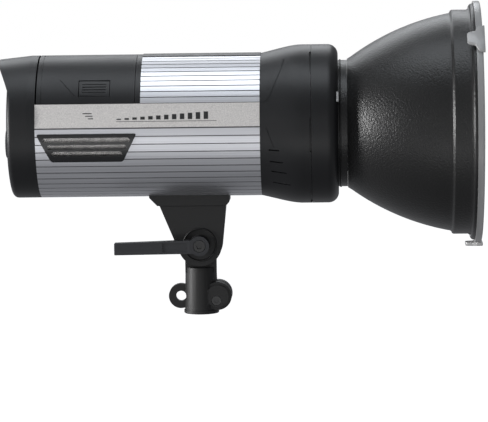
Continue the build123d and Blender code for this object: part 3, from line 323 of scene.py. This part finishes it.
def shrink_wrap(name, colour, band):
    """Glossy printed sleeve with a darker band round each end."""
    skin = Finish(name, colour, 0.26)
    x, _, _ = skin.parts()
    low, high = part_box(band)
    middle = (low.x + high.x) / 2
    half = (high.x - low.x) / 2
    edge = abs(x - middle) > half - 3.0 * MM
    creases = skin.noise(420.0, detail=2.0, stretch=(0.3, 1.0, 1.0))
    skin.set("Base Color", skin.mix(edge, shade(colour), shade((0.02, 0.02, 0.02))))
    skin.set("Roughness", 0.2 + 0.18 * creases)
    skin.bump(creases, 0.03 * MM)
    return skin.material


def glazed_ceramic():
    skin = Finish("glazed_ceramic", (0.82, 0.81, 0.77), 0.2)
    specks = skin.noise(700.0, detail=3.0)
    skin.set("Base Color", skin.mix(specks, shade((0.76, 0.75, 0.70)), shade((0.88, 0.87, 0.84))))
    skin.set("Roughness", 0.16 + 0.14 * specks)
    skin.bump(specks, 0.02 * MM)
    return skin.material


def woven_mesh():
    """Fine diagonal wire cloth: crossing wires with painted glints, over holes painted near-black as painted
    shade.
    """
    skin = Finish("woven_wire", grey(0.5), 0.3, Metallic=1.0)
    x, _, z = skin.parts()
    rising = (x + 1.6 * z) * 640.0
    falling = (x - 1.6 * z) * 640.0
    over = abs(rising.apply("FRACT", rising) - 0.5)
    under = abs(falling.apply("FRACT", falling) - 0.5)
    crest = over.apply("MAXIMUM", over, under)
    wire = ((crest - 0.30) / 0.08).clamped()
    # Painted glints: noise brightens patches of the wires to stand for highlights
    glint = skin.noise(150.0, detail=1.0)
    bright = skin.mix(glint, shade(grey(0.45, WARM)), shade(grey(1.0, WARM)))
    # The holes between the wires are painted near-black: painted shade for the dark inside seen through the
    # cloth
    skin.set("Base Color", skin.mix(wire, shade(grey(0.012)), bright))
    skin.set("Metallic", wire)
    skin.set("Roughness", 0.55 - 0.3 * wire)
    skin.bump(crest, 0.25 * MM)
    return skin.material


def phosphor():
    skin = Finish("lamp_phosphor", (0.9, 0.72, 0.12), 0.5)
    dots = skin.cells(620.0)
    skin.set("Base Color", skin.mix(dots, shade((0.95, 0.80, 0.2)), shade((0.7, 0.5, 0.06))))
    skin.bump(dots, 0.05 * MM)
    return skin.material


def display():
    """Dark display glass with a faint dot grid."""
    skin = Finish("display", (0.012, 0.03, 0.045), 0.3)
    _, y, z = skin.parts()
    pitch = 2400.0
    rows = z.apply("FRACT", z * pitch) > 0.16
    columns = y.apply("FRACT", y * pitch) > 0.16
    lit = rows * columns
    skin.set("Base Color", skin.mix(lit, shade((0.006, 0.012, 0.02)), shade((0.012, 0.045, 0.07))))
    return skin.material


def lit_segment():
    skin = Finish("display_ink", (0.75, 0.9, 0.95), 0.4, Emission_Strength=0.9)
    flicker = skin.noise(900.0)
    skin.set("Emission Color", skin.mix(flicker, shade((0.55, 0.8, 0.9)), shade((0.7, 0.92, 1.0))))
    return skin.material


def print_ink(name, value):
    skin = Finish(name, grey(value), 0.45)
    wear = skin.noise(1500.0, detail=3.0)
    skin.set("Roughness", 0.38 + 0.14 * wear)
    skin.set("Base Color", skin.mix(wear, shade(grey(value * 0.8)), shade(grey(value * 1.3))))
    return skin.material


FINISHES = {
    "black_plastic": satin_plastic("black_plastic", 0.007, 0.42),
    "cap_plastic": satin_plastic("cap_plastic", 0.007, 0.44),
    "grille_plastic": satin_plastic("grille_plastic", 0.006, 0.27, grain=1900.0, depth=0.008 * MM, coat=0.3),
    "ribbed_aluminium": ribbed_aluminium(),
    "bracket_black": powder_coat("bracket_coat", 0.006, 0.52, 1900.0, 0.035 * MM),
    "lever_plastic": satin_plastic("lever_nylon", 0.022, 0.48, grain=1500.0, depth=0.03 * MM),
    "reflector_paint": powder_coat("reflector_coat", 0.006, 0.35, 700.0, 0.24 * MM),
    "steel": bare_metal("bright_steel", 0.60, 0.28),
    "black_steel": bare_metal("blackened_steel", 0.055, 0.34),
    "mesh_steel": woven_mesh(),
    "board": circuit_board(),
    "cell_wrap": shrink_wrap("cell_wrap", (0.02, 0.14, 0.42), "battery_cells"),
    "can": shrink_wrap("capacitor_sleeve", (0.02, 0.025, 0.07), "capacitors"),
    "brass": bare_metal("gold_flash", 0.75, 0.24, tint=(1.0, 0.78, 0.38)),
    "ceramic": glazed_ceramic(),
    "frosted_glass": frosted("frosted_glass", 0.9, 0.62, 0.35),
    "tube_glass": frosted("tube_glass", 0.92, 0.5, 0.12),
    "screen_glass": frosted("screen_window", 0.02, 0.35, 0.08),
    "screen": display(),
    "diffuser": prismatic(),
    "button_rubber": satin_plastic("button_rubber", 0.035, 0.6, grain=1700.0, depth=0.02 * MM),
    "sensor_red": satin_plastic(
        "sensor_dome", 0.12, 0.12, depth=0.002 * MM, tint=(1.0, 0.06, 0.05), coat=0.6
    ),
    "lamp_yellow": phosphor(),
}
SILVER = hammered_silver()
INK = print_ink("dark_print", 0.014)
PALE_INK = print_ink("pale_print", 0.55)
SEGMENT = lit_segment()

# The two panel sockets get a darker, rougher copy of the bright steel: painted shade that holds down the left
# softbox's highlight on them
SHADED_SOCKET_STEEL = bare_metal("shaded_socket_steel", 0.16, 0.42)
PANEL_SOCKETS = ("sync_socket", "usb_socket")

SLOT_OF = {item["node"]: item["material_slot"] for item in frame["record"]["subparts"]}
BODY_OF = {
    node: body for body, members in frame["record"]["behaviour"]["bodies"].items() for node in members
}
for node, thing in nodes.items():
    thing.data.materials.clear()
    thing.data.materials.append(SHADED_SOCKET_STEEL if node in PANEL_SOCKETS else FINISHES[SLOT_OF[node]])


# ---------------------------------------------------------------- making pieces
def finish_piece(name, bm, materials, body, stands_for=(), sharp=35.0, bevel=0.0):
    """Turns a bmesh into a piece that rides on a body, with crisp but rounded edges."""
    mesh = bpy.data.meshes.new(name)
    bm.to_mesh(mesh)
    bm.free()
    for material in materials:
        mesh.materials.append(material)
    mesh.shade_smooth()
    mesh.set_sharp_from_angle(angle=radians(sharp))
    thing = bpy.data.objects.new(name, mesh)
    bpy.context.scene.collection.objects.link(thing)
    if bevel:
        edge = thing.modifiers.new("edge", "BEVEL")
        edge.width = bevel
        edge.segments = 2
        edge.limit_method = "ANGLE"
        edge.angle_limit = radians(32)
        edge.harden_normals = True
    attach(thing, body)
    if stands_for:
        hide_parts(*stands_for)
    return thing


def softened(node, bevel=0.25 * MM, finish=None):
    """The CAD node's own shape with welded faces and rounded edges."""
    bm = bmesh.new()
    bm.from_mesh(nodes[node].data)
    bmesh.ops.remove_doubles(bm, verts=bm.verts, dist=0.004 * MM)
    bmesh.ops.dissolve_limit(bm, angle_limit=radians(0.6), verts=bm.verts, edges=bm.edges)
    slot = SLOT_OF[node]
    piece = finish_piece(
        node + "_shape", bm, [finish or FINISHES[slot]], BODY_OF[node], (node,), 32.0, bevel
    )
    piece.modifiers["edge"].use_clamp_overlap = True
    return piece


# ---------------------------------------------------------------- reflector
CLAW_ANGLES = {"bottom": -90.0, "far": 45.6, "near": 134.4}


def arc_through(first, middle, last, steps):
    """Points on the circle through three points, all as (x, radius)."""
    (ax, ay), (bx, by), (cx, cy) = first, middle, last
    d = 2 * (ax * (by - cy) + bx * (cy - ay) + cx * (ay - by))
    a2, b2, c2 = ax * ax + ay * ay, bx * bx + by * by, cx * cx + cy * cy
    centre = Vector(
        (
            (a2 * (by - cy) + b2 * (cy - ay) + c2 * (ay - by)) / d,
            (a2 * (cx - bx) + b2 * (ax - cx) + c2 * (bx - ax)) / d,
        )
    )
    start = Vector(first) - centre
    turn = start.angle_signed(Vector(last) - centre)
    return [centre + Matrix.Rotation(-turn * i / steps, 2) @ start for i in range(steps + 1)]


def spun(profile, steps=128, closed=True):
    """A ring or bowl: the profile of (x, radius) turned round the lamp's axis."""
    bm = bmesh.new()
    verts = [bm.verts.new((x, 0, AXIS_Z + r)) for x, r in profile]
    edges = [bm.edges.new((verts[i - 1], verts[i])) for i in range(0 if closed else 1, len(verts))]
    bmesh.ops.spin(
        bm,
        geom=verts + edges,
        cent=(0, 0, AXIS_Z),
        axis=(1, 0, 0),
        angle=2 * pi,
        steps=steps,
        use_merge=True,
    )
    bmesh.ops.recalc_face_normals(bm, faces=bm.faces)
    return bm


def reflector_bowl():
    """Spun bowl with a rolled rim, coated outside and pebbled silver inside."""
    x0, x1 = bowl_low.x, bowl_high.x
    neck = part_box("reflector_neck")
    neck_r = neck[1].y - 0.7 * MM
    band_x = x1 - 6.2 * MM
    bowl_x = x0 + 78.3 * MM
    bowl_r = RIM_R - 7.2 * MM
    band_r = RIM_R - 4.6 * MM
    skin = 1.2 * MM
    middle = x0 + 38.9 * MM
    foot = (x0 + 3.1 * MM, neck_r + 2.7 * MM)
    outer = arc_through(foot, (middle, bowl_r - 12 * MM), (bowl_x, bowl_r), 28)
    profile = [(x0, neck_r - skin), (x0, neck_r + 0.8 * MM)] + [tuple(p) for p in outer]
    profile += [(bowl_x + 0.8 * MM, bowl_r + 0.4 * MM), (bowl_x + 1.6 * MM, band_r - 0.5 * MM)]
    profile += [(bowl_x + 2.6 * MM, band_r), (band_x - 0.8 * MM, band_r)]
    roll = 2.6 * MM
    rim_x = x1 - roll - 0.1 * MM
    for i in range(13):
        turn = radians(200 - 230 * i / 12)
        profile.append((rim_x + roll * cos(turn), RIM_R - roll + roll * sin(turn)))
    profile += [(x1 - 1.0 * MM, band_r - skin), (bowl_x + 2.6 * MM, band_r - skin)]
    profile += [(p.x + 0.4 * MM, p.y - skin) for p in reversed(outer)]
    bm = spun(profile)
    for face in bm.faces:
        centre = face.calc_center_median()
        inward = face.normal.dot(Vector((0, centre.y, centre.z - AXIS_Z)))
        face.material_index = 1 if inward < 0 else 0
    finish_piece(
        "reflector_bowl_spun",
        bm,
        [FINISHES["reflector_paint"], SILVER],
        "reflector",
        ("reflector_bowl",),
        50.0,
    )


def diffuser():
    """Frosted plate with a stepped edge, and three tapered claws hooked over the rim."""
    hook_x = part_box("diffuser_cap")[0].x
    x0 = bowl_high.x + 0.05 * MM
    x1 = x0 + 3.0 * MM
    plate_r = RIM_R + 2.0 * MM
    profile = [(x0, 1e-5), (x0, RIM_R - 6 * MM), (x0, RIM_R + 0.3 * MM), (x0 - 2.0 * MM, RIM_R + 0.3 * MM)]
    profile += [(x0 - 2.0 * MM, plate_r), (x1 - 1.0 * MM, plate_r), (x1 - 0.3 * MM, plate_r - 0.3 * MM)]
    profile += [(x1, plate_r - 1.0 * MM), (x1 - 0.4 * MM, plate_r - 9 * MM), (x1 - 0.4 * MM, 1e-5)]
    bm = spun(profile, closed=False)
    bmesh.ops.remove_doubles(bm, verts=bm.verts, dist=0.02 * MM)
    bmesh.ops.recalc_face_normals(bm, faces=bm.faces)
    finish = FINISHES["diffuser"]
    finish_piece("diffuser_plate", bm, [finish], "reflector", ("diffuser_cap",), 40.0)
    reach = 3.0 * MM
    base = plate_r + 0.05 * MM
    for name, angle in CLAW_ANGLES.items():
        bm = bmesh.new()
        outline = [(x1 + 1.4 * MM, 13), (x0 - 0.5 * MM, 11.5), (x0 - 3.0 * MM, 6.5), (hook_x + 1.2 * MM, 5.2)]
        outline += [(hook_x, 4.0), (hook_x, -4.0), (hook_x + 1.2 * MM, -5.2), (x0 - 3.0 * MM, -6.5)]
        outline += [(x0 - 0.5 * MM, -11.5), (x1 + 1.4 * MM, -13)]
        loop = [bm.verts.new((x, w * MM, sqrt(base * base - (w * MM) ** 2))) for x, w in outline]
        face = bm.faces.new(loop)
        made = bmesh.ops.extrude_face_region(bm, geom=[face])
        top = [v for v in made["geom"] if isinstance(v, bmesh.types.BMVert)]
        bmesh.ops.translate(bm, verts=top, vec=(0, 0, reach))
        bmesh.ops.recalc_face_normals(bm, faces=bm.faces)
        rim = [e for e in bm.edges if e.calc_face_angle(0.0) > radians(40)]
        bmesh.ops.bevel(
            bm, geom=rim, offset=0.6 * MM, segments=2, profile=0.5, affect="EDGES", material=-1
        )
        turn = Matrix.Translation((0, 0, AXIS_Z)) @ Matrix.Rotation(radians(angle - 90.0), 4, "X")
        bmesh.ops.transform(bm, matrix=turn, verts=bm.verts)
        finish_piece("diffuser_claw_" + name, bm, [finish], "reflector")


# ---------------------------------------------------------------- printed marks and display
def bar(bm, u, v, width, height, slant=0.0):
    """A flat bar about (u, v), in millimetres of the printed face."""
    place = Matrix.Translation((u * MM, v * MM, 0)) @ Matrix.Rotation(radians(slant), 4, "Z")
    size = Matrix.Diagonal((width * MM, height * MM, 1, 1))
    bmesh.ops.create_grid(bm, x_segments=1, y_segments=1, size=0.5, matrix=place @ size)


def printed(name, bm, face_frame, finish):
    """Gives flat marks a hair of thickness and lays them on a face."""
    bmesh.ops.solidify(bm, geom=bm.faces[:], thickness=0.04 * MM)
    bmesh.ops.transform(bm, matrix=face_frame, verts=bm.verts)
    bmesh.ops.recalc_face_normals(bm, faces=bm.faces)
    finish_piece(name, bm, [finish], "head")


def frame_from(origin, right, up):
    """Matrix whose x and y lie along right and up, at the origin given."""
    out = right.cross(up)
    turned = Matrix((right, up, out)).transposed().to_4x4()
    return Matrix.Translation(origin) @ turned


def side_marks():
    """A plain rising power scale and a small charge sign on each side strip."""
    face_r = BODY_R * cos(STRIP_HALF) + 0.03 * MM
    for name, side in (("near", -1), ("far", 1)):
        out = Vector((0, side * cos(STRIP_TURN), sin(STRIP_TURN)))
        right = Vector((-side, 0, 0))
        place = Vector((-0.036, 0, AXIS_Z)) + out * face_r
        bm = bmesh.new()
        for step in range(12):
            bar(bm, -22 + 6.0 * step, -2.6 + 0.22 * step, 3.4, 0.9 + 0.44 * step)
        bar(bm, 14.0, -4.4, 76.0, 0.35)
        for row in range(3):
            bar(bm, -46 + 1.3 * row, 2.0 - 2.0 * row, 7.0 - 1.5 * row, 0.7)
        face = frame_from(place, right, out.cross(right))
        printed("strip_marks_" + name, bm, face, INK)


SEGMENTS = {"a": (0, 2, 2.2, 0.5), "g": (0, 0, 2.2, 0.5), "d": (0, -2, 2.2, 0.5)}
SEGMENTS.update({"f": (-1.3, 1, 0.5, 1.6), "b": (1.3, 1, 0.5, 1.6)})
SEGMENTS.update({"e": (-1.3, -1, 0.5, 1.6), "c": (1.3, -1, 0.5, 1.6)})
DIGITS = ("bc", "abcdef", "abged")


def rear_marks():
    """Display digits and level bars, and small signs beside the keys."""
    low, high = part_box("lcd_module")
    right, up = Vector((0, -1, 0)), Vector((0, 0, 1))
    centre = Vector((low.x - 0.06 * MM, 0, (low.z + high.z) / 2))
    bm = bmesh.new()
    for place, lit in enumerate(DIGITS):
        for key in lit:
            u, v, width, height = SEGMENTS[key]
            bar(bm, 2.0 * u - 9.0 + 7.5 * place, 2.0 * v + 1.4, 2.0 * width, 2.0 * height)
    for step in range(8):
        bar(bm, -14.0 + 4.0 * step, -8.2, 2.6, 1.2)
    for step in range(4):
        bar(bm, 14.0, -2.0 + 2.4 * step, 4.0, 1.4)
    printed("display_digits", bm, frame_from(centre, right, up), SEGMENT)
    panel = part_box("control_panel")[0]
    bm = bmesh.new()
    for node in ("power_button", "test_button", "mode_button", "lamp_button"):
        key_low, key_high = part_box(node)
        u = -(key_low.y + key_high.y) / 2 / MM
        v = (key_low.z + key_high.z) / 2 / MM - AXIS_Z / MM
        bar(bm, u, v - 6.6, 3.6, 0.5)
        bar(bm, u, v - 7.6, 2.0, 0.4)
    for step in range(9):
        turn = radians(-120 + 30 * step)
        bar(bm, 14.0 * sin(turn), -13.0 + 14.0 * cos(turn), 0.5, 1.6, -(-120 + 30 * step))
    centre = Vector((panel.x - 0.03 * MM, 0, AXIS_Z))
    printed("panel_marks", bm, frame_from(centre, right, up), PALE_INK)


SOFTENED = {
    "stand_socket": 0.4,
    "clamp_knob": 0.5,
    "bracket_yoke": 0.45,
    "bracket_shoe": 0.45,
    "tilt_lever": 0.35,
    "tilt_nut": 0.3,
    "vent_grille_left": 0.18,
    "vent_grille_right": 0.18,
    "latch_left": 0.15,
    "latch_right": 0.15,
}


# ---------------------------------------------------------------- studio
def camera_at(azimuth, elevation, distance, target, roll):
    """Camera on a sphere about the target, turned about its own line of sight."""
    a, e = radians(azimuth), radians(elevation)
    away = Vector((sin(a) * cos(e), -cos(a) * cos(e), sin(e)))
    lens = bpy.data.cameras.new("camera")
    lens.lens = LENS_MM
    lens.sensor_width = SENSOR_MM
    lens.clip_start = 0.05
    lens.clip_end = 60.0
    camera = bpy.data.objects.new("camera", lens)
    camera.rotation_mode = "QUATERNION"
    camera.rotation_quaternion = away.to_track_quat("Z", "Y") @ Quaternion((0, 0, 1), radians(roll))
    camera.location = Vector(target) + away * distance
    bpy.context.scene.collection.objects.link(camera)
    bpy.context.scene.camera = camera


def softbox(name, place, aim, size, power, colour=(1.0, 1.0, 1.0)):
    light = bpy.data.lights.new(name, "AREA")
    light.shape = "RECTANGLE"
    light.size, light.size_y = size
    light.energy = power
    light.color = colour
    thing = bpy.data.objects.new(name, light)
    thing.location = place
    thing.rotation_mode = "QUATERNION"
    thing.rotation_quaternion = (Vector(place) - Vector(aim)).to_track_quat("Z", "Y")
    bpy.context.scene.collection.objects.link(thing)


def studio_world():
    """White behind the object, and a soft grey room for it to reflect."""
    world = bpy.data.worlds.new("studio")
    world.use_nodes = True
    tree = world.node_tree
    backdrop = tree.nodes["Background"]
    room = tree.nodes.new("ShaderNodeBackground")
    place = tree.nodes.new("ShaderNodeTexCoord")
    split = tree.nodes.new("ShaderNodeSeparateXYZ")
    ramp = tree.nodes.new("ShaderNodeValToRGB")
    path = tree.nodes.new("ShaderNodeLightPath")
    either = tree.nodes.new("ShaderNodeMixShader")
    scale = Flow(tree, split.outputs["Z"]) * 0.5 + 0.5
    stops = ((0.0, 0.22), (0.25, 0.40), (0.45, 0.40), (0.6, 0.26), (1.0, 0.30))
    while len(ramp.color_ramp.elements) < len(stops):
        ramp.color_ramp.elements.new(0.5)
    for element, (position, value) in zip(ramp.color_ramp.elements, stops):
        element.position = position
        element.color = shade(grey(value, (0.97, 0.985, 1.03)))
    tree.links.new(place.outputs["Generated"], split.inputs[0])
    tree.links.new(scale.socket, ramp.inputs[0])
    tree.links.new(ramp.outputs[0], room.inputs["Color"])
    backdrop.inputs["Color"].default_value = (1, 1, 1, 1)
    tree.links.new(path.outputs["Is Camera Ray"], either.inputs[0])
    tree.links.new(room.outputs[0], either.inputs[1])
    tree.links.new(backdrop.outputs[0], either.inputs[2])
    tree.links.new(either.outputs[0], tree.nodes["World Output"].inputs[0])
    bpy.context.scene.world = world
    bpy.context.scene.view_settings.view_transform = "Standard"


def pale_floor(height):
    """Plain pale floor well below the lamp."""
    bm = bmesh.new()
    bmesh.ops.create_grid(bm, x_segments=2, y_segments=2, size=12.0)
    bmesh.ops.translate(bm, verts=bm.verts, vec=(0, 0, height))
    mesh = bpy.data.meshes.new("floor")
    bm.to_mesh(mesh)
    bm.free()
    paint = Finish("pale_floor", (0.9, 0.9, 0.9), 0.7, Emission_Color=(1, 1, 1, 1), Emission_Strength=0.8)
    paint.set("Roughness", 0.65 + 0.1 * paint.noise(3.0))
    mesh.materials.append(paint.material)
    floor = bpy.data.objects.new("floor", mesh)
    floor.visible_glossy = False
    floor.visible_diffuse = False
    bpy.context.scene.collection.objects.link(floor)


def studio():
    camera_at(azimuth=2.0, elevation=6.0, distance=2.325, target=(0.034, 0.0, 0.079), roll=-0.8)
    studio_world()
    pale_floor(FLOOR_Z)
    softbox("overhead", (-0.1, -0.25, 1.5), (0.0, 0, AXIS_Z), (1.2, 0.7), 11.0, (0.90, 0.95, 1.0))
    softbox("left", (-1.7, -0.4, 0.2), (0.1, 0, AXIS_Z), (0.4, 0.7), 48.0)
    softbox("front", (-0.2, -2.4, 0.4), (0.05, 0, AXIS_Z), (1.6, 0.6), 2.5)
    softbox("low_front", (0.0, -2.0, -0.8), (0.05, 0, AXIS_Z), (2.2, 0.7), 9.0)
    softbox("behind", (-0.2, 1.4, 1.2), (0.05, 0, AXIS_Z), (1.4, 0.7), 11.0, (0.94, 0.97, 1.0))


studio()
for node, width in SOFTENED.items():
    softened(node, width * MM)
reflector_bowl()
diffuser()
side_marks()
rear_marks()
